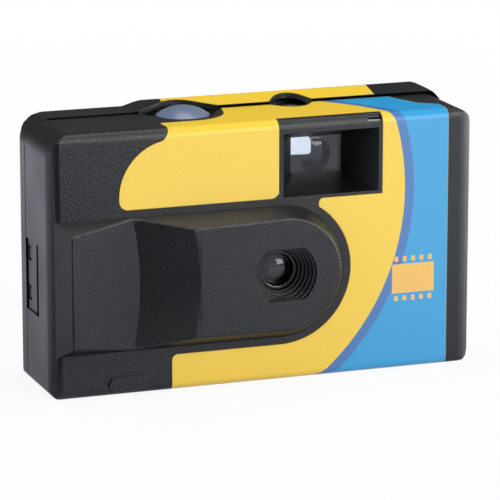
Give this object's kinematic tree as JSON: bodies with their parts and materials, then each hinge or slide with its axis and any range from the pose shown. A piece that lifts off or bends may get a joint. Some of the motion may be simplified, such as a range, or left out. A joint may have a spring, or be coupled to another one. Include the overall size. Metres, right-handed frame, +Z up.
{
  "type": "disposable film camera",
  "caption": "Pocket single-use film camera: snap-together black covers, printed wrap label, recessed lens, see-through viewfinder, domed shutter button and thumb advance wheel.",
  "frame": {"origin": "Middle of the bounding box in plan, at the height of the bottom face the camera stands on.", "axes": "+X runs along the width from the finger-grip end to the far end, +Y runs from the lens side to the back, +Z is up."},
  "size_m": [0.11, 0.0346, 0.067],
  "materials": {
    "cover_black": "moulded ABS, fine spark-eroded grain",
    "works_black": "moulded polystyrene, matt",
    "trim_black": "moulded ABS, satin",
    "label_film": "printed film, satin varnish",
    "button_grey": "moulded ABS, satin",
    "clear_acrylic": "moulded clear acrylic, polished",
    "counter_white": "moulded polystyrene, matt",
    "lever_acetal": "moulded acetal, satin",
    "blade_steel": "stamped steel, blackened",
    "spring_steel": "drawn spring wire",
    "cassette_steel": "rolled sheet steel, lacquered",
    "felt": "pile velvet",
    "film": "coated film base"
  },
  "bodies": {
    "body": {"front_cover": "cover_black", "rear_cover": "cover_black", "main_frame": "works_black", "front_label": "label_film", "rear_label": "label_film", "counter_window": "clear_acrylic", "viewfinder_front_lens": "clear_acrylic", "viewfinder_eyepiece": "clear_acrylic", "taking_lens": "clear_acrylic", "lens_retainer": "trim_black", "lens_holder": "works_black", "cassette_shell": "cassette_steel", "cassette_caps": "cassette_steel", "light_trap_felt": "felt", "film_strip": "film", "drive_spring": "spring_steel", "shutter_spring": "spring_steel"},
    "button": {"shutter_button": "button_grey"},
    "winder": {"thumbwheel": "trim_black", "cassette_spool": "works_black"},
    "sprocket": {"sprocket": "lever_acetal"},
    "supply": {"supply_spool": "works_black", "film_roll": "film"},
    "counter": {"counter_wheel": "counter_white"},
    "drive_lever": {"drive_lever": "lever_acetal"},
    "shutter_blade": {"shutter_blade": "blade_steel"},
    "metering_lever": {"metering_lever": "lever_acetal"}
  },
  "joints": [
    {"name": "button_press", "type": "slide", "parent": "body", "child": "button", "axis": [0, 0, -1], "range_m": [0, 0.0015], "stiffness_N_per_m": 400, "springref_m": -0.001},
    {"name": "winder_turn", "type": "hinge", "parent": "body", "child": "winder", "pos_m": [-0.0398, 0.00285, 0.055], "axis": [0, 0, 1], "continuous": true},
    {"name": "sprocket_turn", "type": "hinge", "parent": "body", "child": "sprocket", "pos_m": [0.00399, 0.00635, 0.05], "axis": [0, 0, 1], "continuous": true},
    {"name": "supply_turn", "type": "hinge", "parent": "body", "child": "supply", "pos_m": [0.0415, 0.0029, 0.0275], "axis": [0, 0, 1], "continuous": true},
    {"name": "counter_turn", "type": "hinge", "parent": "body", "child": "counter", "pos_m": [0.0205, 0.00465, 0.0615], "axis": [0, 0, 1], "continuous": true},
    {"name": "drive_lever_swing", "type": "hinge", "parent": "body", "child": "drive_lever", "pos_m": [-0.0076, 0.00335, 0.053], "axis": [0, 0, 1], "range_deg": [0, 30.5]},
    {"name": "shutter_blade_swing", "type": "hinge", "parent": "body", "child": "shutter_blade", "pos_m": [-0.0055, -0.00585, 0.03349], "axis": [0, 1, 0], "range_deg": [0, 28], "stiffness_Nm_per_rad": 0.00005, "springref_deg": -28.65, "deforming": ["shutter_spring"]},
    {"name": "metering_lever_swing", "type": "hinge", "parent": "body", "child": "metering_lever", "pos_m": [-0.00911, 0.01075, 0.053], "axis": [0, 0, 1], "range_deg": [0, 8]}
  ],
  "couplings": [
    {"joint": "sprocket_turn", "follows": "winder_turn", "ratio": 1.04},
    {"joint": "supply_turn", "follows": "winder_turn", "ratio": 0.656},
    {"joint": "counter_turn", "follows": "winder_turn", "ratio": -0.026},
    {"joint": "drive_lever_swing", "follows": "shutter_blade_swing", "ratio": 1.0714},
    {"joint": "metering_lever_swing", "follows": "button_press", "rad_per_m": 93}
  ]
}
